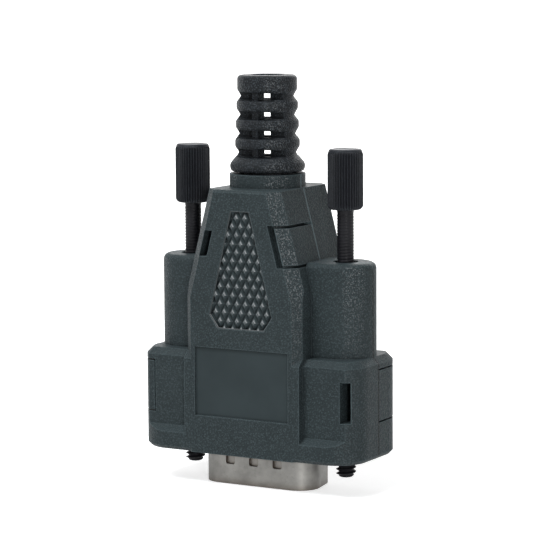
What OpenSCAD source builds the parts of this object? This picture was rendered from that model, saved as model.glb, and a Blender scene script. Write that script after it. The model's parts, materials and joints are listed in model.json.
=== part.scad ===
// Cable hood for a 9-way D-sub plug.
// Two identical snap-together halves hold the plug, a slotted bend relief,
// a two-bar cable clamp and a pair of captive jackscrews.
// Axes: X across the plug, -Y front half, +Z up to the cable entry.
// Z = 0 is the rim of the plug shell.

/* [Hood] */
// Width across the plug end of the hood
hood_w = 35.4; // [33:0.1:40]
// Depth of both halves together
hood_d = 16; // [15:0.1:19]
// Height of the plug end
block_h = 14.4; // [12.5:0.1:17]
// Corner radius of the plug end
corner_r = 4.8; // [4:0.1:6]
// Plug rim below the hood's mouth
rim_proud = 4.85; // [4:0.05:6]
// Height of the screw shoulders above the plug end
shoulder_h = 13.25; // [11:0.05:16]
// Height of the neck above the screw shoulders
neck_h = 10.1; // [8:0.1:13]
// Half width of the middle body
mid_half = 9.35; // [9:0.05:10.5]
// Half width of the neck at its top
neck_half = 5.8; // [5.4:0.05:7]
// Bevel on the long front edges
bevel = 1.6; // [0.8:0.05:1.8]
// General wall thickness
wall = 1.3; // [1:0.05:1.6]

/* [Cable entry] */
// Outer radius of the collar
collar_r = 5.4; // [5:0.05:6]
// Height of the collar
collar_h = 1.9; // [1.2:0.1:3]
// Outer radius of the bend relief's top ring
boot_r = 4.2; // [3.6:0.05:4.6]
// Radius of the cable passage
cable_r = 2.2; // [1.6:0.05:2.6]
// Pitch of the bend relief's rings
ring_pitch = 2.66; // [2.2:0.02:3.2]

/* [Jackscrews] */
// Distance between the two screws
screw_span = 24.99; // [24.99]
// Outer radius of the screw thread
thread_r = 1.42; // [1.3:0.01:1.5]
// Length of the screw thread
thread_h = 3.35; // [2.5:0.05:3.6]
// Radius of the plain shank
shank_r = 1.2; // [0.9:0.01:1.25]
// Radius of the knurled knob
knob_r = 2.5; // [2.2:0.05:3]
// Height of the knurled knob
knob_h = 8.5; // [7:0.1:11]
// Screw travel from raised to home
travel = 7.3; // [5:0.1:9]

/* [Plug] */
// Wall of the plug shell
shell_t = 0.38; // [0.3:0.01:0.5]
// Radius of a contact pin
pin_r = 0.5; // [0.5]

/* [Hidden] */
$fn = 48;
e = 0.01;
fit = 0.15;
half_w = hood_w / 2;
half_d = hood_d / 2;
screw_x = screw_span / 2;

// heights of the hood
z_base = rim_proud;
z_lip = z_base + 1;
z_block = z_base + block_h;
z_shoulder = z_block + shoulder_h;
z_neck = z_shoulder + neck_h;
z_collar = z_neck + collar_h;
z_taper = z_neck - 13.65;

// plug end
wing_y = half_d - 1.15;
band_h = 2.6;
ramp_h = 0.8;
edge_c = 0.9;
label_w = 15.15;
label_h = 9.9;
label_z = z_base + 5.4;
panel_d = 0.3;

// grip panel
grip_top = z_neck - 2.9;
grip_wide = grip_top - 14.8;
grip_low = grip_wide - 1.95;
grip_pitch = 1.2;
grip_depth = 0.45;
grip_w_top = 1.54;
grip_w_mid = 5.1;
grip_w_low = 3.75;

// snap tabs and their slots
tab_t = 1;
tab_gap = 0.25;
slot_w = 1.45;
low_z0 = z_base + 5.15;
low_z1 = low_z0 + 7.65;
low_end = screw_x + 2.6;
top_z0 = z_neck - 10.6;
top_z1 = z_neck - 4.7;

// column over each screw
col_r = 4.35;
col_round = 0.9;
guide_r = 1.8;
bore_r = 3;

// plug
flange_w = 30.81;
flange_d = 12.55;
flange_t = 0.5;
flange_r = 2;
z_flange = z_lip + 0.1;
z_rear = z_flange + flange_t;
z_rear_top = z_rear + flange_t;
d_w = 16.92 / 2 + shell_t;
d_h = 8.36 / 2 + shell_t;
d_r = 2.6 + shell_t;
pin_pitch = 2.77;
row_gap = 2.84;
z_face = 5.1;
z_cup = 13.9;

// cavities
cav_x = half_w - 3.5;
cav_y = wing_y - wall;
z_cav = z_block - wall;
z_neck_cav = z_taper + 0.2;

// jackscrew heights, raised
z_tip = z_base - 3;
z_ring_top = z_shoulder - wall - 0.1;
ring_h = 0.8;
ring_r = 2.6;
groove_r = 0.85;
z_knob = z_shoulder + travel;

// bend relief
ring_h_b = ring_pitch / 2;
post_w = 1;
foot_r = 4.6;
z_foot_top = z_neck - wall - 0.1;
z_foot = z_foot_top - 1.4;
stem_r = collar_r - 1.3;
z_flare = z_collar + 0.3;
z_ring0 = z_flare + 2;
ring_round = 0.48;
top_round = 0.75;

// cable clamp
clamp_z = z_taper + 1.2;
clamp_h = 4.6;
clamp_half = 5;
clamp_t = 2.2;
clamp_gap = 1.3;
clamp_screw_x = 3.75;
clamp_screw_r = 0.85;

// plain values of the neck and plug
mid_bevel = bevel * 0.72;
neck_wall = wall + 1.2;
top_c = 0.35;
mouth_r = 2.75;
z_slot = z_rear_top + 0.3;
eyelet_r = thread_r + 0.43;
dimple_w = 1.5;
dimple_h = 1.25;
dimple_in = 0.4;
dimple_pitch = 3.85;
dimple_z = 3.5;
tub_w = 19.4;
tub_d = 10.6;
tub_h = 4.2;
z_split = z_rear + 1.7;
z_back = z_rear + tub_h + 0.2;
z_pin = 1.1;
cup_r = 0.8;
top_ring_h = 2.3;
knurl_n = 36;

// Sub-part to draw

// ---------- profiles ----------

// rectangle with rounded corners, centred
module round_rect(w, d, r) {
    square([w - 2 * r, d], center = true);
    square([w, d - 2 * r], center = true);
    for (sx = [-1, 1], sy = [-1, 1])
        translate([sx * (w / 2 - r), sy * (d / 2 - r)]) circle(r);
}

// D outline, wide side towards -Y
module d_profile(w, h, r) {
    s = (h - r) * tan(10);
    wide = w - r;
    narrow = wide - 2 * s;
    c = r * cos(10) - 0.005;
    n = r * sin(10);
    polygon([
        [-wide - c, -h + r + n], [-wide, -h], [wide, -h],
        [wide + c, -h + r + n], [narrow + c, h - r + n],
        [narrow, h], [-narrow, h], [-narrow - c, h - r + n]
    ]);
    for (sx = [-1, 1]) {
        translate([sx * wide, r - h]) circle(r);
        translate([sx * narrow, h - r]) circle(r);
    }
}

// front outline of the middle body and neck, drawn in by "in"
module mid_outline(in) {
    polygon([
        [-mid_half + in, z_base], [mid_half - in, z_base],
        [mid_half - in, z_taper], [neck_half - in, z_neck],
        [-neck_half + in, z_neck], [-mid_half + in, z_taper]
    ]);
}

// ---------- hood ----------

// slab with rounded corners, chamfered c0 below and c1 above
module slab(w, d, r, h, c0, c1) {
    translate([0, 0, c0]) linear_extrude(h - c0 - c1) round_rect(w, d, r);
    slab_edge(w, d, r, c0, 0);
    translate([0, 0, h]) slab_edge(w, d, r, c1, 1);
}
// one chamfered layer of that slab
module slab_edge(w, d, r, c, up) {
    mirror([0, 0, up]) {
        for (sx = [-1, 1], sy = [-1, 1])
            translate([sx * (w / 2 - r), sy * (d / 2 - r), 0]) cylinder(c, r - c, r);
        translate([r - w / 2, 0, 0]) rotate([90, 0, 90])
            linear_extrude(w - 2 * r) taper_profile(d / 2, c);
        translate([0, d / 2 - r, 0]) rotate([90, 0, 0])
            linear_extrude(d - 2 * r) taper_profile(w / 2, c);
    }
}
module taper_profile(half, c) {
    polygon([[c - half, 0], [half - c, 0], [half, c], [-half, c]]);
}

// rounded column top, drawn from the column's own foot
module col_profile(h) {
    for (s = [-1, 1]) translate([s * (col_r - col_round), h - col_round]) circle(col_round);
    translate([-col_r, 0]) square([2 * col_r, h - col_round]);
    translate([col_round - col_r, 0]) square([2 * (col_r - col_round), h]);
}
module column(h) {
    rotate_extrude() intersection() {
        col_profile(h);
        square([col_r, h]);
    }
    translate([-screw_x, 0, 0]) rotate([90, 0, 90]) linear_extrude(screw_x) col_profile(h);
}

// front outline of the middle body and neck, drawn in by "in"
module mid_outline(in) {
    polygon([
        [in - mid_half, z_base], [mid_half - in, z_base],
        [mid_half - in, z_taper], [neck_half - in, z_neck],
        [in - neck_half, z_neck], [in - mid_half, z_taper]
    ]);
}
// side outline with the front top edge broken
module mid_side(in, over) {
    polygon([
        [in - half_d, z_base], [over, z_base], [over, z_neck],
        [in - half_d + top_c, z_neck], [in - half_d, z_neck - top_c]
    ]);
}
// bevel cutter along the front edge that runs from x0,z0 to x1,z1
module edge_cut(x0, z0, x1, z1, b, in) {
    s = b / 2 + in * sqrt(0.5);
    translate([x0, -half_d, z0]) rotate([0, atan2(x1 - x0, z1 - z0), 0])
        translate([-s, s, 0]) rotate([0, 0, -45])
            translate([0, -12, -3]) cube([12, 24, norm([x1 - x0, z1 - z0]) + 6]);
}
// middle body and neck, front half, to "over" behind the parting plane
module mid_solid(in, over = 0) {
    difference() {
        intersection() {
            translate([0, over, 0]) rotate([90, 0, 0])
                linear_extrude(half_d + over) mid_outline(in);
            translate([-mid_half, 0, 0]) rotate([90, 0, 90])
                linear_extrude(2 * mid_half) mid_side(in, over);
        }
        for (m = [0, 1]) mirror([m, 0, 0]) {
            edge_cut(mid_half, z_base, mid_half, z_taper, mid_bevel, in);
            edge_cut(mid_half, z_taper, neck_half, z_neck, bevel, in);
        }
    }
}
// layer of the neck between two heights
module mid_layer(in, z0, z1) {
    intersection() {
        mid_solid(in, 1);
        translate([-mid_half, -half_d, z0]) cube([2 * mid_half, half_d + 1, z1 - z0]);
    }
}

// pocket that sets a wing's face back, with its ramp and top chamfer
module wing_pocket() {
    translate([mid_half, 0, 0]) rotate([90, 0, 90]) linear_extrude(half_w)
        polygon([
            [-half_d - 1, z_base + band_h], [-half_d, z_base + band_h],
            [-wing_y, z_base + band_h + ramp_h], [-wing_y, z_block - edge_c],
            [edge_c - wing_y, z_block], [edge_c - wing_y, z_block + e],
            [-half_d - 1, z_block + e]
        ]);
}

// wing outline as a plate set in by "in"
module wing_plan(in) {
    intersection() {
        round_rect(hood_w - 2 * in, hood_d - 2 * in, corner_r - in);
        square([hood_w, 2 * (wing_y - in)], center = true);
    }
}
// low snap tab, as it lies on the front left corner
module low_tab(t, g, end, over) {
    translate([0, 0, low_z0 + g]) linear_extrude(low_z1 - low_z0 - 2 * g)
        intersection() {
            difference() {
                wing_plan(-e * (g == 0 ? 1 : 0));
                wing_plan(t);
            }
            translate([-half_w - 1, -half_d]) square([half_w + 1 - end, half_d + over]);
        }
}
// hook bead at the end of the low tab
module low_bead(t, g) {
    translate([-low_end - 0.9 - g, t - wing_y - e, low_z0 + 1.2 - g])
        cube([0.9 + 2 * g, 0.45 + g, low_z1 - low_z0 - 2.4 + 2 * g]);
}
// window of the high tab, seen from the front, "back" from the bevel's edge
module high_window(g, back) {
    lean = (mid_half - neck_half) / (z_neck - z_taper);
    x0 = neck_half + lean * (z_neck - top_z0 - g) - bevel - back;
    x1 = neck_half + lean * (z_neck - top_z1 + g) - bevel - back;
    rotate([90, 0, 0]) translate([0, 0, -1]) linear_extrude(half_d + 2)
        polygon([
            [x0, top_z0 + g], [mid_half + 1, top_z0 + g],
            [mid_half + 1, top_z1 - g], [x1, top_z1 - g]
        ]);
}
// high snap tab, as it lies on the front right of the neck
module high_tab(t, g, back, over) {
    intersection() {
        difference() {
            mid_solid(g == 0 ? -e : 0, over);
            mid_solid(t, over + 1);
        }
        high_window(g, back);
        translate([0, -half_d - 1, 0]) cube([mid_half + 1, half_d + 1 + over, z_neck]);
    }
}
// bead along the inside of the high tab
module high_bead(t, g) {
    intersection() {
        difference() {
            mid_solid(t - e);
            mid_solid(t + 0.4 + g);
        }
        high_window(0.9 - g, 0);
        translate([0, -5.2 - g, 0]) cube([mid_half, 0.9 + 2 * g, z_neck]);
    }
}

// core slots in front of the half's own tabs
module tab_slots() {
    translate([low_end + 0.05, -half_d, low_z0 + 0.75])
        cube([slot_w, half_d + 1, low_z1 - low_z0 - 1.9]);
    intersection() {
        mirror([1, 0, 0]) difference() {
            high_window(1.1, 1.25);
            translate([bevel, 0, 0]) high_window(0, -bevel);
            slot_outer();
        }
        translate([-mid_half, -half_d - 1, 0]) cube([mid_half, half_d + 2, z_neck]);
    }
}
// everything outside the bevel's front edge
module slot_outer() {
    high_window(0, -0.05);
}

// raised diamonds of the grip, as two families of crossing grooves
module grip_outline(in) {
    polygon([
        [grip_w_top - in, grip_top - in], [grip_w_mid - in, grip_wide],
        [grip_w_low - in, grip_low + in], [in - grip_w_low, grip_low + in],
        [in - grip_w_mid, grip_wide], [in - grip_w_top, grip_top - in]
    ]);
}
module grip() {
    mid_z = (grip_top + grip_low) / 2;
    translate([0, 0.12 - half_d, 0]) rotate([90, 0, 0]) linear_extrude(1) grip_outline(0);
    intersection() {
        translate([0, 1 - half_d, 0]) rotate([90, 0, 0]) linear_extrude(2) grip_outline(0.12);
        for (a = [-1, 1], k = [-8:8])
            translate([0, -half_d + 0.12, mid_z]) rotate([0, a * 29.5, 0])
                translate([k * grip_pitch, 0, -13]) linear_extrude(26)
                    polygon([[-0.55, -0.12], [0.55, -0.12], [0, grip_depth]]);
    }
}

// one moulded half, made once and used twice
module half_hood() {
    difference() {
        union() {
            difference() {
                intersection() {
                    union() {
                        translate([0, 0, z_base])
                            slab(hood_w, hood_d, corner_r, block_h, 0.5, edge_c);
                        for (m = [0, 1]) mirror([m, 0, 0])
                            translate([screw_x, 0, z_block - 2]) column(shoulder_h + 2);
                        translate([0, 0, z_neck - 1]) cylinder(collar_h + 1, r = collar_r);
                    }
                    translate([-half_w, -half_d, 0]) cube([hood_w, half_d, z_collar]);
                }
                for (m = [0, 1]) mirror([m, 0, 0]) wing_pocket();
            }
            mid_solid(0);
        }
        hood_room();
        tab_slots();
        high_tab(tab_t + 0.1, 0, 1, 1);
        high_bead(tab_t, fit);
        low_tab(tab_t + 0.1, 0, low_end - fit, 1);
        low_bead(tab_t, fit);
        translate([-label_w / 2, panel_d - half_d - 1, label_z]) cube([label_w, 1, label_h]);
        grip();
    }
    rotate([0, 0, 180]) {
        high_tab(tab_t, 0.4, 0, 1);
        high_bead(tab_t, 0);
        low_tab(tab_t, tab_gap, low_end, 1);
        low_bead(tab_t, 0);
    }
    clamp_shelf();
}

// the room inside the half
module hood_room() {
    translate([0, 0, z_base - 1]) linear_extrude(3) round_rect(2 * d_w + 0.7, 2 * d_h + 0.7, d_r);
    translate([0, 0, z_lip]) linear_extrude(z_slot - z_lip)
        round_rect(flange_w + 2 * fit, flange_d + 2 * fit, flange_r);
    translate([0, 0, z_slot - e]) linear_extrude(z_cav - z_slot + e)
        round_rect(2 * cav_x, 2 * cav_y, 2.4);
    mid_layer(wall, z_slot - e, z_neck_cav);
    mid_layer(neck_wall, z_neck_cav - e, z_foot - 0.8);
    mid_layer(wall, z_foot - 0.9, z_neck - wall);
    translate([0, 0, z_neck - wall - e]) cylinder(collar_h + wall + 1, r = stem_r + 0.05);
    for (s = [-1, 1]) translate([s * screw_x, 0, 0]) {
        translate([0, 0, z_base - 1]) cylinder(3, r = mouth_r);
        translate([0, 0, z_lip]) cylinder(z_shoulder - wall - z_lip, r = bore_r);
        translate([0, 0, z_shoulder - wall - 1]) cylinder(wall + 2, r = guide_r);
    }
}
// ledges that carry the cable clamp
module clamp_shelf() {
    intersection() {
        mid_layer(wall, clamp_z - 1.1, clamp_z - 0.1);
        for (s = [-1, 1]) translate([s * mid_half - 5, clamp_gap - 5.5, 0])
            cube([10, 5.5 - clamp_gap, z_neck]);
        translate([-mid_half, -half_d, 0]) cube([2 * mid_half, half_d, z_neck]);
    }
}

module hood_front() {
    color("slategray") half_hood();
}
module hood_rear() {
    color("lightslategray") rotate([0, 0, 180]) half_hood();
}

// ---------- bend relief ----------

// ring with both outer edges rounded, "c" below and "d" above
module ring(r, h, c, d) {
    rotate_extrude() {
        translate([r - c, c]) circle(c);
        translate([r - d, h - d]) circle(d);
        polygon([
            [cable_r, 0], [r - c, 0], [r - c, c], [r, c], [r, h - d],
            [r - d, h - d], [r - d, h], [cable_r, h]
        ]);
    }
}
module bend_relief() {
    color("dimgray") {
        translate([0, 0, z_foot]) ring(foot_r, z_foot_top - z_foot, 0.2, 0.2);
        translate([0, 0, z_foot_top - e]) cylinder_tube(stem_r, z_flare - z_foot_top + 0.1);
        rotate_extrude() polygon([
            [cable_r, z_flare], [collar_r - 0.3, z_flare], [collar_r - 0.08, z_flare + 0.4],
            [collar_r - 0.08, z_flare + 0.8], [boot_r + 0.7, z_flare + 1.45],
            [boot_r + 0.45, z_ring0], [cable_r, z_ring0]
        ]);
        for (i = [0:3]) {
            r = boot_r + 0.12 * (3 - i);
            translate([0, 0, z_ring0 + i * ring_pitch]) posts(r);
            translate([0, 0, z_ring0 + (i + 0.5) * ring_pitch])
                ring(r, i == 3 ? top_ring_h : ring_pitch / 2, ring_round, i == 3 ? top_round : ring_round);
        }
    }
}
module cylinder_tube(r, h) {
    difference() {
        cylinder(h, r = r);
        translate([0, 0, -1]) cylinder(h + 2, r = cable_r);
    }
}
// four posts across one gap, the side pair deeper than the front pair
module posts(r) {
    difference() {
        for (a = [0:3]) rotate([0, 0, 90 * a])
            translate([0, -post_w / 2, -0.1])
                cube([a % 2 == 0 ? r - 0.45 : r - 1.15, post_w, ring_pitch / 2 + 0.2]);
        translate([0, 0, -1]) cylinder(ring_pitch + 2, r = cable_r);
    }
}

// ---------- plug ----------

module flange_plate(z) {
    translate([0, 0, z]) difference() {
        linear_extrude(flange_t) round_rect(flange_w, flange_d, flange_r);
        for (s = [-1, 1]) translate([s * screw_x, 0, -1]) cylinder(3, r = eyelet_r + 0.02);
    }
}
module plug_shell() {
    color("silver") difference() {
        union() {
            flange_plate(z_flange);
            linear_extrude(z_flange + e) d_profile(d_w, d_h, d_r);
        }
        difference() {
            translate([0, 0, -1]) linear_extrude(z_rear + 2)
                d_profile(d_w - shell_t, d_h - shell_t, d_r - shell_t);
            dimples(shell_t);
        }
        dimples(0);
    }
}
// pressed grounding dimples on both long sides, grown by "g"
module dimples(g) {
    for (i = [-1:1]) translate([i * dimple_pitch, -d_h, 0]) dimple(g);
    for (i = [-0.5, 0.5]) translate([i * dimple_pitch, d_h, 0]) rotate([0, 0, 180]) dimple(g);
}
module dimple(g) {
    translate([0, dimple_in + g, dimple_z]) rotate([90, 0, 0])
        linear_extrude(dimple_in + g + 1)
            round_rect(dimple_w + 2 * g, dimple_h + 2 * g, 0.3 + g);
}
module rear_shell() {
    color("silver") difference() {
        union() {
            flange_plate(z_rear);
            translate([0, 0, z_rear]) linear_extrude(tub_h)
                round_rect(tub_w, tub_d, 2);
        }
        translate([0, 0, z_rear - 1]) linear_extrude(tub_h + 2)
            round_rect(tub_w - 0.8, tub_d - 0.8, 1.6);
    }
}
function pin_x(n) = n < 5 ? (n - 2) * pin_pitch : (n - 6.5) * pin_pitch;
function pin_y(n) = n < 5 ? -row_gap / 2 : row_gap / 2;
module at_pins() {
    for (n = [0:8]) translate([pin_x(n), pin_y(n), 0]) children();
}
module front_insulator() {
    color("black") difference() {
        union() {
            translate([0, 0, z_face]) linear_extrude(z_rear - z_face)
                d_profile(d_w - shell_t - 0.05, d_h - shell_t - 0.05, d_r - shell_t - 0.05);
            translate([0, 0, z_rear]) linear_extrude(z_split - z_rear)
                round_rect(tub_w - 0.9, tub_d - 0.9, 1.55);
        }
        at_pins() translate([0, 0, z_face - 1]) cylinder(z_split, r = pin_r + 0.05);
    }
}
module rear_insulator() {
    color("black") difference() {
        union() {
            translate([0, 0, z_split]) linear_extrude(z_back - z_split)
                round_rect(tub_w - 0.9, tub_d - 0.9, 1.55);
            translate([0, 0, z_back - e]) linear_extrude(0.8) round_rect(14.6, 6.2, 1.6);
        }
        at_pins() translate([0, 0, z_split - 1]) cylinder(8, r = cup_r + 0.05);
    }
}
// contact with a rounded tip and a solder cup
module contact(n) {
    translate([pin_x(n), pin_y(n), 0]) color("gold") difference() {
        union() {
            translate([0, 0, z_pin]) cylinder(z_split - z_pin, r = pin_r);
            translate([0, 0, z_pin]) sphere(pin_r);
            translate([0, 0, z_split]) cylinder(z_cup - z_split, r = cup_r);
        }
        translate([0, 0, z_cup - 2.4]) cylinder(3, r = cup_r - 0.25);
        translate([-1, pin_y(n) < 0 ? -1 : 0, z_cup - 1.9]) cube([2, 1, 3]);
    }
}
module eyelet(s) {
    color("gainsboro") translate([s * screw_x, 0, 0]) difference() {
        union() {
            translate([0, 0, z_flange - 0.25]) cylinder(2 * flange_t + 0.5, r = eyelet_r);
            translate([0, 0, z_flange - 0.25]) cylinder(0.25, r = eyelet_r + 0.6);
            translate([0, 0, z_rear_top]) cylinder(0.25, r = eyelet_r + 0.6);
        }
        translate([0, 0, z_flange - 1]) cylinder(4, r = thread_r + 0.1);
    }
}

// ---------- cable clamp ----------

module clamp_bar(hole_r) {
    difference() {
        translate([-clamp_half, -clamp_gap - clamp_t, clamp_z])
            cube([2 * clamp_half, clamp_t, clamp_h]);
        translate([0, 0, clamp_z - 1]) cylinder(clamp_h + 2, r = cable_r + 0.2);
        for (s = [-1, 1]) translate([s * clamp_screw_x, 1, clamp_z + clamp_h / 2])
            rotate([90, 0, 0]) cylinder(2 * half_d, r = hole_r);
        for (k = [-1, 1]) translate([0, 0, clamp_z + clamp_h / 2 + k * 1.1 - 0.3])
            cylinder(0.6, r = cable_r + 0.6);
    }
}
module clamp_front() {
    color("silver") clamp_bar(clamp_screw_r + 0.1);
}
module clamp_rear() {
    color("silver") rotate([0, 0, 180]) clamp_bar(clamp_screw_r + 0.02);
}
module clamp_screw(s) {
    color("gainsboro") translate([s * clamp_screw_x, 0, clamp_z + clamp_h / 2])
        rotate([90, 0, 0]) difference() {
            union() {
                translate([0, 0, -clamp_gap - clamp_t])
                    cylinder(2 * (clamp_gap + clamp_t), r = clamp_screw_r);
                translate([0, 0, clamp_gap + clamp_t]) cylinder(0.9, 1.6, 1.3);
            }
            translate([-2, -0.2, clamp_gap + clamp_t + 0.5]) cube([4, 0.4, 1]);
        }
}

// ---------- jackscrews ----------

module jackscrew(s) {
    color("dimgray") translate([s * screw_x, 0, 0]) difference() {
        union() {
            translate([0, 0, z_tip]) cylinder(0.4, thread_r - 0.4, thread_r);
            translate([0, 0, z_tip + 0.4]) cylinder(thread_h - 0.4, r = thread_r);
            translate([0, 0, z_tip + thread_h - e])
                cylinder(z_knob + knob_h - 2 - z_tip - thread_h, r = shank_r);
        }
        translate([0, 0, z_ring_top - ring_h - 0.05]) difference() {
            cylinder(ring_h + 0.1, r = shank_r + 1);
            translate([0, 0, -1]) cylinder(ring_h + 3, r = groove_r);
        }
    }
}
// knurled section with straight teeth
module knurl(r, h) {
    n = 2 * knurl_n;
    linear_extrude(h) polygon([
        for (i = [0:n - 1]) let (k = r - (i % 2) * 0.17)
            [k * cos(360 * i / n), k * sin(360 * i / n)]
    ]);
}
module knob(s) {
    color("darkslategray") translate([s * screw_x, 0, z_knob]) difference() {
        union() {
            cylinder(0.4, knob_r - 0.5, knob_r - 0.16);
            translate([0, 0, 0.4]) knurl(knob_r, knob_h - 1.2);
            translate([0, 0, knob_h - 0.8]) rotate_extrude() intersection() {
                union() {
                    translate([knob_r - 0.66, 0.3]) circle(0.5);
                    square([knob_r - 0.66, 0.8]);
                    square([knob_r - 0.16, 0.3]);
                }
                square([knob_r, 0.8]);
            }
        }
        translate([0, 0, -1]) cylinder(knob_h - 1, r = shank_r + 0.01);
        translate([-knob_r, -0.35, knob_h - 0.9]) cube([2 * knob_r, 0.7, 2]);
    }
}
// open retaining clip in the shank's groove
module clip(s) {
    color("gray") translate([s * screw_x, 0, z_ring_top - ring_h]) difference() {
        cylinder(ring_h, r = ring_r);
        translate([0, 0, -1]) cylinder(ring_h + 2, r = groove_r + 0.05);
        translate([0, -groove_r * 0.75, -1]) cube([ring_r + 1, groove_r * 1.5, ring_h + 2]);
        for (a = [-1, 1]) rotate([0, 0, a * 110]) translate([1.75, 0, -1])
            cylinder(ring_h + 2, r = 0.45);
    }
}

// ---------- what is drawn ----------

hood_front();
hood_rear();
bend_relief();
plug_shell();
rear_shell();
front_insulator();
rear_insulator();
contact(0);  // pin_1
contact(1);  // pin_2
contact(2);  // pin_3
contact(3);  // pin_4
contact(4);  // pin_5
contact(5);  // pin_6
contact(6);  // pin_7
contact(7);  // pin_8
contact(8);  // pin_9
eyelet(-1);  // eyelet_left
eyelet(1);  // eyelet_right
clamp_front();
clamp_rear();
clamp_screw(-1);  // clamp_screw_left
clamp_screw(1);  // clamp_screw_right
jackscrew(-1);  // jackscrew_left
jackscrew(1);  // jackscrew_right
knob(-1);  // knob_left
knob(1);  // knob_right
clip(-1);  // clip_left
clip(1);  // clip_right
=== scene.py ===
import json
import math

import bmesh
import bpy
from mathutils import Matrix, Vector


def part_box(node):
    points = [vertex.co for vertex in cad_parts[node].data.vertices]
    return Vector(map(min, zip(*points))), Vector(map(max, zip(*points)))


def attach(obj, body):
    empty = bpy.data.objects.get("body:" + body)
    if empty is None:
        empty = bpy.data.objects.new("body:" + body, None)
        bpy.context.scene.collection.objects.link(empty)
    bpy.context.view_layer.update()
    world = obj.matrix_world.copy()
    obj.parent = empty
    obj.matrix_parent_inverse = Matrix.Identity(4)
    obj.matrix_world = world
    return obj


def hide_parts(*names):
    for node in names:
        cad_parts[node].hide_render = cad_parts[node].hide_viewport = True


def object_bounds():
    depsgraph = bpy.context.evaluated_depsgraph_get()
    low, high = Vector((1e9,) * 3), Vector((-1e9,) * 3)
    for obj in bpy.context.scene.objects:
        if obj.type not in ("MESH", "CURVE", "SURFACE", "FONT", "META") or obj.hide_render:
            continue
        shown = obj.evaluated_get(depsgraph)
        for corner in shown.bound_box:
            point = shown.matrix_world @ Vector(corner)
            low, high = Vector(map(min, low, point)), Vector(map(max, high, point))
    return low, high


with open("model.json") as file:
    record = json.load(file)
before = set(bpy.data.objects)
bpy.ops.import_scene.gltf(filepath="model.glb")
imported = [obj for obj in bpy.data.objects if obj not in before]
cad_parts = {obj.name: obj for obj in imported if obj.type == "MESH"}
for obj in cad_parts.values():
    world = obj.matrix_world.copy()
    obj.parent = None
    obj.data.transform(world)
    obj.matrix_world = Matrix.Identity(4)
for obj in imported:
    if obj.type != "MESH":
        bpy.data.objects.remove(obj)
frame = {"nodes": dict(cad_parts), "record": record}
cad_box = [list(corner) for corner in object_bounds()]
MM = 0.001
TURN = 2 * math.pi

# ---------- camera ----------

# the photograph's view, in degrees round the object, below level and tilted
AZIMUTH = math.radians(30)
DOWN = math.radians(7.12)
ROLL = math.radians(0.37)
DISTANCE = 347.6 * MM
EYE_HEIGHT = 74 * MM
FOCAL_LENGTH = 163.7
SIDE_SHIFT = 0.0031

camera_data = bpy.data.cameras.new("studio_camera")
camera_data.sensor_width = 36
camera_data.lens = FOCAL_LENGTH
camera_data.shift_x = SIDE_SHIFT
camera_data.clip_start = 0.02
camera_data.clip_end = 20
camera = bpy.data.objects.new("studio_camera", camera_data)
bpy.context.scene.collection.objects.link(camera)
camera.location = (DISTANCE * math.sin(AZIMUTH), -DISTANCE * math.cos(AZIMUTH), EYE_HEIGHT)
look = Matrix.Rotation(AZIMUTH, 4, "Z") @ Matrix.Rotation(math.pi / 2 - DOWN, 4, "X")
camera.rotation_euler = (look @ Matrix.Rotation(-ROLL, 4, "Z")).to_euler()
bpy.context.scene.camera = camera

# ---------- node helpers ----------


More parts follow.
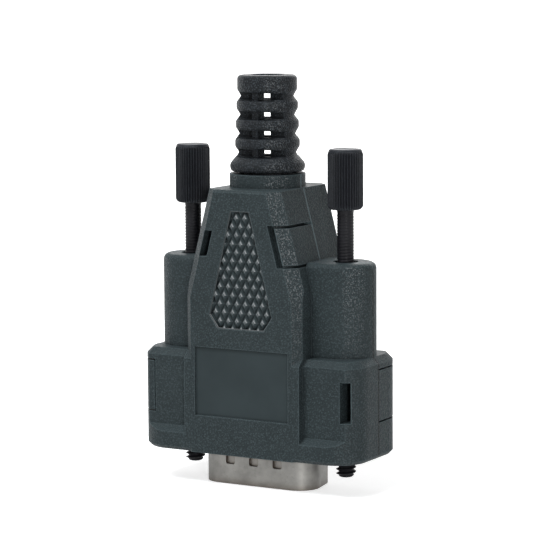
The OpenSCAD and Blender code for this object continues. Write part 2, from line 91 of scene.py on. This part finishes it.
class Shader:
    """One material's node tree, with short calls for the nodes used here."""

    def __init__(self, name):
        self.material = bpy.data.materials.new(name)
        self.material.use_nodes = True
        self.nodes = self.material.node_tree.nodes
        self.links = self.material.node_tree.links
        self.bsdf = self.nodes["Principled BSDF"]
        self.place = self.nodes.new("ShaderNodeTexCoord").outputs["Object"]

    def link(self, value, socket):
        """Joins an output to a socket, or sets the socket to a plain value."""
        if isinstance(value, bpy.types.NodeSocket):
            self.links.new(value, socket)
        else:
            socket.default_value = value

    def stretched(self, scale):
        """The object's coordinates, scaled along each axis."""
        node = self.nodes.new("ShaderNodeMapping")
        node.inputs["Scale"].default_value = scale
        self.links.new(self.place, node.inputs["Vector"])
        return node.outputs["Vector"]

    def noise(self, size, detail=2.0, rough=0.5, where=None):
        """Noise whose features are about "size" metres across."""
        node = self.nodes.new("ShaderNodeTexNoise")
        node.inputs["Scale"].default_value = 1 / size
        node.inputs["Detail"].default_value = detail
        node.inputs["Roughness"].default_value = rough
        self.links.new(where or self.place, node.inputs["Vector"])
        return node.outputs["Fac"]

    def grains(self, size, where=None):
        """Rounded cells about "size" metres across, high in their middles."""
        node = self.nodes.new("ShaderNodeTexVoronoi")
        node.feature = "SMOOTH_F1"
        node.inputs["Scale"].default_value = 1 / size
        node.inputs["Smoothness"].default_value = 0.6
        self.links.new(where or self.place, node.inputs["Vector"])
        return self.spread(node.outputs["Distance"], 0.0, 0.75, 1.0, 0.0)

    def spread(self, value, low, high, to_low=0.0, to_high=1.0):
        """Maps low...high to another range, and keeps to it beyond both ends."""
        node = self.nodes.new("ShaderNodeMapRange")
        ends = {"From Min": low, "From Max": high, "To Min": to_low, "To Max": to_high}
        for name, number in ends.items():
            node.inputs[name].default_value = number
        self.links.new(value, node.inputs["Value"])
        return node.outputs["Result"]

    def mix(self, factor, one, other):
        """One colour where the factor is 0, the other where it is 1."""
        node = self.nodes.new("ShaderNodeMix")
        node.data_type = "RGBA"
        for value, index in ((factor, 0), (one, 6), (other, 7)):
            self.link(value, node.inputs[index])
        return node.outputs[2]

    def rounded(self, radius):
        """Normals that round every edge off."""
        node = self.nodes.new("ShaderNodeBevel")
        node.samples = 6
        node.inputs["Radius"].default_value = radius
        return node.outputs["Normal"]

    def lit_edges(self, radius):
        """1 along edges, 0 on faces; the mask for painted edge highlights."""
        flat = self.nodes.new("ShaderNodeNewGeometry").outputs["Normal"]
        node = self.nodes.new("ShaderNodeVectorMath")
        node.operation = "DOT_PRODUCT"
        self.links.new(flat, node.inputs[0])
        self.links.new(self.rounded(radius), node.inputs[1])
        return self.spread(node.outputs["Value"], 0.985, 0.85)

    def math(self, kind, one, other=0.0):
        node = self.nodes.new("ShaderNodeMath")
        node.operation = kind
        self.link(one, node.inputs[0])
        self.link(other, node.inputs[1])
        return node.outputs["Value"]

    def times(self, one, other):
        return self.math("MULTIPLY", one, other)

    def between(self, factor, one, other):
        """One value where the factor is 0, the other where it is 1."""
        kept = self.times(one, self.math("SUBTRACT", 1.0, factor))
        return self.math("ADD", kept, self.times(other, factor))

    def axes(self):
        """The three coordinates, in metres from the frame's origin."""
        parts = self.nodes.new("ShaderNodeSeparateXYZ")
        self.links.new(self.place, parts.inputs[0])
        return [parts.outputs[name] for name in "XYZ"]

    def crevice(self, reach):
        """1 deep in crevices and recesses, 0 in the open."""
        node = self.nodes.new("ShaderNodeAmbientOcclusion")
        node.samples = 8
        node.inputs["Distance"].default_value = reach
        return self.spread(node.outputs["AO"], 0.25, 0.95, 1.0, 0.0)

    def in_block(self, half_width, low, high):
        """1 on the hood's broad faces, between two heights and near the middle."""
        x, y, z = self.axes()
        inside = self.math("LESS_THAN", self.math("ABSOLUTE", x), half_width)
        for kind, value, limit in (
            ("GREATER_THAN", z, low),
            ("LESS_THAN", z, high),
            ("GREATER_THAN", self.math("ABSOLUTE", y), BROAD_FACE),
        ):
            inside = self.times(inside, self.math(kind, value, limit))
        return inside

    def in_grip(self):
        """1 on the studded grip panels, whose outline widens and narrows with height."""
        z = self.axes()[2]
        upper = self.spread(z, GRIP_WIDE_Z, GRIP_TOP_Z, GRIP_WIDE, GRIP_TOP)
        lower = self.spread(z, GRIP_LOW_Z, GRIP_WIDE_Z, GRIP_LOW, GRIP_WIDE)
        return self.in_block(self.math("MINIMUM", upper, lower), GRIP_LOW_Z, GRIP_TOP_Z)

    def facing(self):
        """The three components of the face's own direction."""
        parts = self.nodes.new("ShaderNodeSeparateXYZ")
        flat = self.nodes.new("ShaderNodeNewGeometry").outputs["True Normal"]
        self.links.new(flat, parts.inputs[0])
        return [parts.outputs[name] for name in "XYZ"]

    def facing_up(self, low, high, most):
        """From 0 to "most" as the face turns upward."""
        return self.spread(self.facing()[2], low, high, 0.0, most)

    def cornered(self, low, high):
        """1 on faces that look out between front and side."""
        across, along = (self.math("ABSOLUTE", part) for part in self.facing()[:2])
        return self.spread(self.math("MINIMUM", across, along), low, high)

    def lit_stud_tips(self):
        """1 on the upper sides of the grip's studs, towards their points, where a highlight is
        painted.
        """
        tip = self.spread(self.math("ABSOLUTE", self.axes()[1]), STUD_LOW, STUD_TIP)
        return self.times(tip, self.facing_up(-0.1, 0.4, 1.0))

    def not_in_panels(self):
        """0 on the smooth label and grip panels, 1 on the grained faces round them."""
        label = self.in_block(LABEL_HALF, LABEL_LOW_Z, LABEL_TOP_Z)
        return self.math("SUBTRACT", 1.0, self.math("MAXIMUM", label, self.in_grip()))

    def near_plane(self, reach):
        """1 within "reach" of the plane y = 0, where the two halves meet."""
        off = self.math("ABSOLUTE", self.axes()[1])
        return self.spread(off, reach, reach * 1.4, 1.0, 0.0)

    def bump(self, height, depth, strength=1.0, under=None):
        node = self.nodes.new("ShaderNodeBump")
        node.inputs["Strength"].default_value = strength
        node.inputs["Distance"].default_value = depth
        self.links.new(height, node.inputs["Height"])
        if under is not None:
            self.links.new(under, node.inputs["Normal"])
        return node.outputs["Normal"]

    def finish(self, colour, rough, normal, metallic=0.0, specular=0.5):
        """Feeds the surface and gives the material."""
        self.link(colour, self.bsdf.inputs["Base Color"])
        self.link(rough, self.bsdf.inputs["Roughness"])
        self.links.new(normal, self.bsdf.inputs["Normal"])
        self.bsdf.inputs["Metallic"].default_value = metallic
        self.bsdf.inputs["Specular IOR Level"].default_value = specular
        return self.material


def scaled(colour, k):
    """A colour made lighter or darker, with its alpha."""
    return (*(part * k for part in colour), 1.0)


# ---------- materials ----------

# the hood's panels, in metres from the frame's origin
BROAD_FACE = 6.9 * MM
LABEL_HALF = 15.15 / 2 * MM
LABEL_LOW_Z = 10.25 * MM
LABEL_TOP_Z = 20.15 * MM
GRIP_TOP_Z = 39.7 * MM
GRIP_WIDE_Z = 24.9 * MM
GRIP_LOW_Z = 22.95 * MM
GRIP_TOP = 1.54 * MM
GRIP_WIDE = 5.1 * MM
GRIP_LOW = 3.75 * MM
STUD_LOW = 7.7 * MM
STUD_TIP = 7.83 * MM

# the upper part, where the painted glint flecks on the grain fade in and the parting line becomes a
# painted highlight
GLINT_LOW_Z = 18 * MM
HIGHLIGHT_Z = 32 * MM
LOW_GLINT = 0.15
PARTING_LINE = 0.14 * MM

# colour of the painted glint flecks
GLINT_FLECK = (0.165, 0.175, 0.18, 1)
# colour of the painted highlight on the studs' upper sides
STUD_HIGHLIGHT = (0.26, 0.27, 0.275, 1)
# colour of the painted brownish shade in metal recesses
RECESS_SHADE = (0.085, 0.068, 0.055, 1)


def moulded(
    name, base, grain=0.28 * MM, depth=0.07 * MM, rough=0.4, edge=0.12 * MM, edge_light=1.5, fleck=1.8,
    glint=0.0, hood=False,
):
    """Moulded plastic or rubber with a spark-eroded grain, painted edge highlights, painted light
    on up-facing faces and painted shade in crevices.

    "edge_light" and "fleck" say how much lighter than the base the painted edge highlights and the
    grain's high spots are, "glint" how strong the painted glint flecks on corner faces are, and
    "hood" adds the label, the grip with its painted shade and highlights, and the parting line with
    its painted highlight.
    """
    shade = 0.5 * MM
    s = Shader(name)
    cells = s.grains(grain)
    specks = s.noise(grain * 0.6, 3.0, 0.6)
    clouds = s.noise(6 * MM, 3.0, 0.55)
    grained = s.not_in_panels() if hood else 1.0
    colour = s.mix(s.spread(clouds, 0.35, 0.65), scaled(base, 0.92), scaled(base, 1.08))
    dark = s.times(s.spread(specks, 0.40, 0.60, 0.0, 0.5), grained)
    colour = s.mix(dark, colour, scaled(base, 0.45))
    bright = s.times(s.spread(cells, 0.45, 0.65, 0.0, 0.7), grained)
    colour = s.mix(bright, colour, scaled(base, fleck))
    # painted glint flecks on faces between front and side, fading in with height
    if glint:
        height = s.spread(s.axes()[2], GLINT_LOW_Z, HIGHLIGHT_Z, LOW_GLINT, glint)
        glint_zone = s.times(s.cornered(0.33, 0.48), height)
        glint_flecks = s.times(s.spread(s.noise(grain * 0.7, 2.0, 0.5), 0.54, 0.64), glint_zone)
        colour = s.mix(s.times(glint_flecks, grained), colour, GLINT_FLECK)
    # painted light from above: faces turned upward are lighter
    colour = s.mix(s.facing_up(0.35, 0.95, 0.4), colour, scaled(base, 1.9))
    # painted highlight along the edges
    colour = s.mix(s.lit_edges(edge * 1.3), colour, scaled(base, edge_light))
    # painted shade in crevices and recesses
    colour = s.mix(s.times(s.crevice(shade), 0.85), colour, scaled(base, 0.15))
    sheen = s.spread(specks, 0.3, 0.7, rough - 0.1, rough + 0.12)
    if hood:
        in_grip = s.in_grip()
        # the grip's studs: painted shade between them and a painted highlight on their upper sides
        studs = s.mix(s.crevice(shade), scaled(base, 1.3), scaled(base, 0.25))
        studs = s.mix(s.lit_stud_tips(), studs, STUD_HIGHLIGHT)
        colour = s.mix(in_grip, colour, studs)
        # the parting line: a dark line below and a painted highlight above
        upper = s.spread(s.axes()[2], HIGHLIGHT_Z - MM, HIGHLIGHT_Z + MM)
        line = s.mix(upper, scaled(base, 0.15), scaled(base, 3.4))
        colour = s.mix(s.near_plane(PARTING_LINE), colour, line)
        sheen = s.between(in_grip, sheen, 0.28)
    normal = s.bump(s.times(cells, grained), depth, 1.0, s.rounded(edge))
    normal = s.bump(s.times(specks, grained), depth * 0.8, 0.8, normal)
    return s.finish(colour, sheen, normal, specular=0.1)


def plated(
    name, base, rough=0.33, brush=(1, 1, 9), tarnish=0.2, metallic=1.0, specular=0.5, recess_shade=False
):
    """Plated metal with fine drawing lines, cloudy tarnish and, if asked, painted brownish shade in
    recesses.
    """
    s = Shader(name)
    lines = s.noise(0.6 * MM, 4.0, 0.65, s.stretched(brush))
    clouds = s.noise(2.5 * MM, 4.0, 0.6)
    spots = s.noise(0.4 * MM, 3.0, 0.6)
    colour = s.mix(s.spread(clouds, 0.35, 0.65), scaled(base, 1 - tarnish), scaled(base, 1.0))
    colour = s.mix(s.spread(spots, 0.58, 0.72, 0.0, 0.5), colour, scaled(base, 1 - 1.6 * tarnish))
    sheen = s.spread(clouds, 0.3, 0.7, rough + 0.12, rough - 0.04)
    if recess_shade:
        # painted brownish shade in recesses
        colour = s.mix(s.crevice(1.4 * MM), colour, RECESS_SHADE)
    normal = s.bump(lines, 0.010 * MM, 0.5, s.rounded(0.05 * MM))
    normal = s.bump(spots, 0.012 * MM, 0.4, normal)
    return s.finish(colour, sheen, normal, metallic, specular)


SLATE = (0.024, 0.0325, 0.035)
BOOT = (0.010, 0.012, 0.014)
FINISHES = {
    "hood_plastic": moulded(
        "hood_plastic", SLATE, rough=0.52, edge=0.16 * MM, edge_light=3.0, glint=0.62, hood=True
    ),
    "boot_rubber": moulded(
        "boot_rubber", BOOT, grain=0.24 * MM, depth=0.09 * MM, rough=0.42, edge_light=2.8, fleck=4.5,
        glint=0.45,
    ),
    "knob_plastic": moulded(
        "knob_plastic", (0.020, 0.022, 0.026), grain=0.18 * MM, depth=0.01 * MM, rough=0.42,
        edge=0.04 * MM, edge_light=2.2,
    ),
    "insulator": moulded(
        "insulator", (0.010, 0.010, 0.012), grain=0.15 * MM, depth=0.008 * MM, edge_light=1.3
    ),
    "tinned_steel": plated(
        "tinned_steel", (0.205, 0.200, 0.188), rough=0.42, brush=(1, 1, 0.15), recess_shade=True
    ),
    "zinc_steel": plated("zinc_steel", (0.45, 0.46, 0.48), rough=0.34),
    "contact_gold": plated("contact_gold", (0.92, 0.68, 0.30), rough=0.24, tarnish=0.12),
    "black_steel": plated(
        "black_steel", (0.009, 0.009, 0.011), rough=0.38, tarnish=0.3, metallic=0.0, specular=0.12
    ),
    "spring_steel": plated("spring_steel", (0.30, 0.30, 0.31), rough=0.45),
}
for part in frame["record"]["subparts"]:
    mesh = frame["nodes"][part["node"]].data
    mesh.materials.clear()
    mesh.materials.append(FINISHES[part["material_slot"]])

# ---------- turned pieces ----------


def quarter(steps):
    """Angles from nothing to a quarter turn, both ends in."""
    return [math.pi / 2 * k / steps for k in range(steps + 1)]


def circle(cx, z, r, n):
    """n points of a circle, where r is a number or a function of the share of a turn."""
    points = []
    for i in range(n):
        a = TURN * i / n
        here = r(i / n) if callable(r) else r
        points.append(Vector((cx + here * math.cos(a), here * math.sin(a), z)))
    return points


def skin(name, rings, material, closed=False):
    """One skin over rings of points: capped at its ends, or closed on itself as a tube."""
    bm = bmesh.new()
    rows = [[bm.verts.new(p) for p in ring] for ring in rings]
    n = len(rows[0])
    pairs = list(zip(rows, rows[1:]))
    if closed:
        pairs.append((rows[-1], rows[0]))
    else:
        bm.faces.new(rows[0])
        bm.faces.new(rows[-1])
    for low, high in pairs:
        for i in range(n):
            j = (i + 1) % n
            bm.faces.new((low[i], low[j], high[j], high[i]))
    bmesh.ops.recalc_face_normals(bm, faces=bm.faces)
    mesh = bpy.data.meshes.new(name)
    bm.to_mesh(mesh)
    bm.free()
    mesh.materials.append(material)
    obj = bpy.data.objects.new(name, mesh)
    bpy.context.scene.collection.objects.link(obj)
    return obj


def smooth(obj, degrees):
    """Smooth shading, apart from edges sharper than an angle."""
    for face in obj.data.polygons:
        face.use_smooth = True
    obj.data.set_sharp_from_angle(angle=math.radians(degrees))


def tooth(u, depth):
    """Depth under the crest at the share u of one pitch: crest, flank, root, flank."""
    crest, flank = 0.12, 0.34
    u %= 1.0
    if u < crest:
        return 0.0
    if u < crest + flank:
        return depth * (u - crest) / flank
    if u < 1.0 - flank:
        return depth
    return depth * (1.0 - u) / flank


def threaded(cx, low, high, crest, depth, pitch, n, steps):
    """Rings of a right-hand thread that fades out over its first and last half pitch."""
    count = round((high - low) / pitch * steps)
    rings = []
    for k in range(count + 1):
        z = low + (high - low) * k / count
        full = min(1.0, min(z - low, high - z) / (0.5 * pitch))

        def radius(u, z=z, full=full):
            return crest - depth * (1 - full) - full * tooth(z / pitch - u, depth)

        rings.append(circle(cx, z, radius, n))
    return rings


def centre_x(node):
    """The x of a CAD node's middle."""
    low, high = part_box(node)
    return (low[0] + high[0]) / 2


# a No. 4-40 thread, and the fine lines rolled round the shank above it
THREAD_LENGTH = 3.35 * MM
THREAD_DEPTH = 0.38 * MM
THREAD_PITCH = 0.635 * MM
SHANK_R = 1.2 * MM
CLIP_GROOVE_R = 0.85 * MM
LINE_DEPTH = 0.055 * MM
LINE_PITCH = 0.43 * MM


def make_screw(side):
    """Black steel jackscrew with a cut tip thread and a finely ringed shank."""
    cx = centre_x("jackscrew_" + side)
    low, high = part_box("jackscrew_" + side)
    clip_low, clip_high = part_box("clip_" + side)
    knob_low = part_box("knob_" + side)[0][2]
    crest = (high[0] - low[0]) / 2
    tip, top = low[2], high[2]
    thread_top = tip + THREAD_LENGTH
    n = 56
    rings = [
        circle(cx, tip, crest - 0.62 * MM, n),
        circle(cx, tip + 0.08 * MM, crest - 0.46 * MM, n),
    ]
    rings += threaded(
        cx, tip + 0.16 * MM, thread_top, crest, THREAD_DEPTH, THREAD_PITCH, n, steps=12
    )
    rings += [
        circle(cx, thread_top + 0.15 * MM, SHANK_R - 0.03 * MM, n),
        circle(cx, clip_low[2] - 0.06 * MM, SHANK_R - 0.03 * MM, n),
        circle(cx, clip_low[2] - 0.05 * MM, CLIP_GROOVE_R, n),
        circle(cx, clip_high[2] + 0.05 * MM, CLIP_GROOVE_R, n),
        circle(cx, clip_high[2] + 0.06 * MM, SHANK_R - 0.1 * MM, n),
    ]
    lines_low, lines_high = clip_high[2] + 0.2 * MM, knob_low - 0.5 * MM
    rings += threaded(cx, lines_low, lines_high, SHANK_R, LINE_DEPTH, LINE_PITCH, n, steps=8)
    rings += [
        circle(cx, knob_low - 0.35 * MM, SHANK_R - 0.02 * MM, n),
        circle(cx, top - 0.05 * MM, SHANK_R - 0.02 * MM, n),
        circle(cx, top, SHANK_R - 0.08 * MM, n),
    ]
    screw = skin("threaded_screw_" + side, rings, FINISHES["black_steel"])
    smooth(screw, 50)
    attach(screw, "screw_" + side)
    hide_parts("jackscrew_" + side)


# the knob, its bore over the shank and its driver slot, with the rim's rounding in millimetres
KNURL_TEETH = 40
KNURL_DEPTH = 0.26 * MM
KNOB_BORE_R = 1.21 * MM
KNOB_BORE_DEPTH = 2.0 * MM
RIM_ROUND = 0.34
SLOT_SIZE = (3.5 * MM, 0.7 * MM, 1.8 * MM)


def make_knob(side):
    """Straight-knurled thumb knob with a rounded top rim and a driver slot."""
    cx = centre_x("knob_" + side)
    low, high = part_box("knob_" + side)
    r = (high[0] - low[0]) / 2
    base, top = low[2], high[2]
    n = KNURL_TEETH * 8

    def ring(z, inset, knurl):
        """Ring "inset" millimetres inside the crest, with a share "knurl" of the tooth depth."""

        def radius(u):
            groove = (0.5 - 0.5 * math.cos(TURN * u * KNURL_TEETH)) ** 0.8
            return r - inset * MM - KNURL_DEPTH * knurl * groove

        return circle(cx, z, radius, n)

    rings = [
        circle(cx, base + KNOB_BORE_DEPTH, KNOB_BORE_R, n),
        circle(cx, base + 0.15 * MM, KNOB_BORE_R, n),
        circle(cx, base, 1.35 * MM, n),
        ring(base, 0.62, 0.0),
        ring(base + 0.05 * MM, 0.42, 0.1),
        ring(base + 0.2 * MM, 0.20, 0.5),
        ring(base + 0.45 * MM, 0.03, 1.0),
        ring(base + 0.6 * MM, 0.0, 1.0),
        ring(top - 0.78 * MM, 0.0, 1.0),
        ring(top - 0.62 * MM, 0.03, 0.85),
        ring(top - 0.48 * MM, 0.1, 0.3),
        ring(top - 0.4 * MM, 0.13, 0.0),
    ]
    for a in quarter(6):
        z = top - RIM_ROUND * MM * (1 - math.sin(a))
        rings.append(ring(z, 0.14 + RIM_ROUND * (1 - math.cos(a)), 0.0))
    rings.append(circle(cx, top, 1.5 * MM, n))
    knob = skin("knurled_knob_" + side, rings, FINISHES["knob_plastic"])
    cut_boxes(knob, [(SLOT_SIZE, (cx, 0, top))])
    smooth(knob, 40)
    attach(knob, "screw_" + side)
    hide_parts("knob_" + side)


def cut_boxes(obj, boxes):
    """Cuts boxes, each given as size and centre, out of a piece."""
    bm = bmesh.new()
    for size, centre in boxes:
        made = bmesh.ops.create_cube(bm, size=1.0)["verts"]
        bmesh.ops.scale(bm, vec=size, verts=made)
        bmesh.ops.translate(bm, vec=centre, verts=made)
    mesh = bpy.data.meshes.new("cutter")
    bm.to_mesh(mesh)
    bm.free()
    cutter = bpy.data.objects.new("cutter", mesh)
    bpy.context.scene.collection.objects.link(cutter)
    cut = obj.modifiers.new("cut", "BOOLEAN")
    cut.operation = "DIFFERENCE"
    cut.solver = "EXACT"
    cut.use_self = True
    cut.object = cutter
    bpy.context.view_layer.update()
    evaluated = obj.evaluated_get(bpy.context.evaluated_depsgraph_get())
    result = bpy.data.meshes.new_from_object(evaluated)
    obj.modifiers.clear()
    obj.data = result
    bpy.data.objects.remove(cutter)


# the bend relief's rings, in millimetres, and the cuts between its posts, in metres
RING_COUNT = 4
RING_PITCH = 2.66
RING_R = 4.24
RING_TAPER = 0.12
RELIEF_BORE_R = 2.2
TOP_ROUND = 0.6
OUTER_WINDOW = (5 * MM, 3.7 * MM, 1.3 * MM)
INNER_WINDOW = (5 * MM, 1.5 * MM, 0.95 * MM)
POST_RECESS = (1.3 * MM, 2 * MM, 1.3 * MM)


def boot_outline(foot, top, ring0):
    """Radius and height round one side of the bend relief, from its bore out and up."""
    flare = ring0 - 2.0
    bore = RELIEF_BORE_R
    outline = [
        (bore, foot), (4.45, foot), (4.6, foot + 0.15), (4.6, foot + 1.25), (4.45, foot + 1.4),
        (3.4, foot + 1.4), (3.4, flare), (4.9, flare), (5.14, flare + 0.1), (5.26, flare + 0.3),
        (5.33, flare + 0.6), (5.34, flare + 0.85), (5.28, flare + 1.1), (5.12, flare + 1.36),
        (4.72, flare + 1.84), (4.3, flare + 2.3),
    ]
    last = RING_COUNT - 1
    for i in range(RING_COUNT):
        r = RING_R + RING_TAPER * (last - i)
        dip = ring0 + (i + 0.25) * RING_PITCH
        low = ring0 + (i + 0.5) * RING_PITCH
        high = low + RING_PITCH / 2
        outline += [(r - 0.46, dip - 0.08), (r - 0.5, dip), (r - 0.46, dip + 0.08)]
        outline += [(r - 0.16, low - 0.02), (r - 0.05, low + 0.14), (r, low + 0.34)]
        if i < last:
            outline += [(r, high - 0.34), (r - 0.05, high - 0.14), (r - 0.16, high + 0.02)]
    for a in quarter(6):
        r = RING_R - TOP_ROUND * (1 - math.cos(a))
        outline.append((r, top - TOP_ROUND + TOP_ROUND * math.sin(a)))
    return outline + [(bore + 0.25, top), (bore, top - 0.25)]


def make_boot():
    """Ribbed bend relief: V-dipped rings over four posts, with a window on each diagonal."""
    low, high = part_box("bend_relief")
    foot, top = low[2] / MM, high[2] / MM
    ring0 = top - 2.3 - 3.5 * RING_PITCH
    outline = boot_outline(foot, top, ring0)
    rings = [circle(0.0, z * MM, radius * MM, 96) for radius, z in outline]
    boot = skin("ribbed_boot", rings, FINISHES["boot_rubber"], closed=True)
    boxes = []
    for i in range(RING_COUNT):
        z = (ring0 + (i + 0.25) * RING_PITCH) * MM
        for sx in (-1, 1):
            for sy in (-1, 1):
                boxes.append((OUTER_WINDOW, (sx * 2.92 * MM, sy * 4.75 * MM, z)))
                boxes.append((INNER_WINDOW, (sx * 2.92 * MM, sy * 2.4 * MM, z)))
        for sy in (-1, 1):
            boxes.append((POST_RECESS, (0, sy * 4.5 * MM, z)))
    cut_boxes(boot, boxes)
    smooth(boot, 38)
    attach(boot, "hood")
    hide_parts("bend_relief")


make_boot()
for side in ("left", "right"):
    make_screw(side)
    make_knob(side)

# ---------- floor, lamps and world ----------


def seen_strength(tree, socket, unseen, seen):
    """One strength for rays that light the object, another for rays that show it."""
    path = tree.nodes.new("ShaderNodeLightPath")
    last = path.outputs["Is Camera Ray"]
    for name in ("Is Glossy Ray", "Is Transmission Ray"):
        either = tree.nodes.new("ShaderNodeMath")
        either.operation = "MAXIMUM"
        tree.links.new(last, either.inputs[0])
        tree.links.new(path.outputs[name], either.inputs[1])
        last = either.outputs["Value"]
    strength = tree.nodes.new("ShaderNodeMapRange")
    strength.inputs["To Min"].default_value = unseen
    if isinstance(seen, bpy.types.NodeSocket):
        tree.links.new(seen, strength.inputs["To Max"])
    else:
        strength.inputs["To Max"].default_value = seen
    tree.links.new(last, strength.inputs["Value"])
    tree.links.new(strength.outputs["Result"], socket)


# how the floor glows, from near the object to far from it, and the backdrop's sweep
GLOW_NEAR, GLOW_FAR = 0.10, 0.45
GLOW_LEAST, GLOW_MOST = 0.62, 1.0
SWEEP_FRONT, SWEEP_BACK, SWEEP_BEND, SWEEP_TOP, SWEEP_SIDE = -1.5, 0.9, 0.5, 3.0, 3.0
FLOOR_GAP = 0.02 * MM


def add_floor():
    """Pale sweep that is white to the camera and keeps the object's shadow."""
    s = Shader("pale_floor")
    clouds = s.noise(0.3, 2.0, 0.5)
    s.link(s.mix(clouds, (0.80, 0.80, 0.80, 1), (0.84, 0.84, 0.84, 1)), s.bsdf.inputs["Base Color"])
    s.bsdf.inputs["Roughness"].default_value = 0.8
    s.bsdf.inputs["Emission Color"].default_value = (1, 1, 1, 1)
    reach = s.nodes.new("ShaderNodeVectorMath")
    reach.operation = "LENGTH"
    s.links.new(s.place, reach.inputs[0])
    glow = s.spread(reach.outputs["Value"], GLOW_NEAR, GLOW_FAR, GLOW_LEAST, GLOW_MOST)
    seen_strength(s.material.node_tree, s.bsdf.inputs["Emission Strength"], 0.0, glow)
    bm = bmesh.new()
    turn = Matrix.Rotation(AZIMUTH, 3, "Z")
    outline = [(SWEEP_FRONT, 0.0)]
    for a in quarter(12):
        y = SWEEP_BACK + SWEEP_BEND * math.sin(a)
        outline.append((y, SWEEP_BEND - SWEEP_BEND * math.cos(a)))
    outline.append((SWEEP_BACK + SWEEP_BEND, SWEEP_TOP))
    rows = []
    for y, z in outline:
        edge = [Vector((x, y, z)) for x in (-SWEEP_SIDE, SWEEP_SIDE)]
        rows.append([bm.verts.new(turn @ point) for point in edge])
    for near, far in zip(rows, rows[1:]):
        bm.faces.new((near[0], near[1], far[1], far[0]))
    mesh = bpy.data.meshes.new("backdrop")
    bm.to_mesh(mesh)
    bm.free()
    for face in mesh.polygons:
        face.use_smooth = True
    mesh.materials.append(s.material)
    floor = bpy.data.objects.new("backdrop", mesh)
    floor.location.z = cad_box[0][2] - FLOOR_GAP
    bpy.context.scene.collection.objects.link(floor)


def add_lamp(name, direction, distance, size, watts, colour=(1, 1, 1)):
    """Soft square lamp, aimed at the object's middle, from a direction in the camera's turn."""
    data = bpy.data.lights.new(name, "AREA")
    data.size = size
    data.energy = watts
    data.color = colour
    lamp = bpy.data.objects.new(name, data)
    toward = (Matrix.Rotation(AZIMUTH, 3, "Z") @ Vector(direction)).normalized()
    middle = Vector((0, 0, (cad_box[0][2] + cad_box[1][2]) / 2))
    lamp.location = middle + toward * distance
    lamp.rotation_euler = toward.to_track_quat("Z", "Y").to_euler()
    bpy.context.scene.collection.objects.link(lamp)


add_floor()
# name, direction as seen by the camera, distance, size, watts and colour
add_lamp("key", (-0.45, -0.4, 1.0), 0.8, 0.3, 5.6, (0.95, 0.98, 1.0))
add_lamp("front", (0.2, -1.0, 0.14), 0.9, 0.12, 3.4)
add_lamp("left_fill", (-1.0, -0.55, 0.35), 0.8, 0.5, 0.5)
add_lamp("right_fill", (1.0, -0.45, 0.30), 0.8, 0.5, 0.6)
add_lamp("back_fill", (0.2, 1.0, 0.5), 0.9, 0.5, 2.5)

WORLD_LIGHT, WORLD_SEEN = 0.15, 1.0

world = bpy.data.worlds.new("studio")
world.use_nodes = True
bpy.context.scene.world = world
background = world.node_tree.nodes["Background"]
background.inputs["Color"].default_value = (1, 1, 1, 1)
seen_strength(world.node_tree, background.inputs["Strength"], WORLD_LIGHT, WORLD_SEEN)
bpy.context.scene.view_settings.view_transform = "Standard"
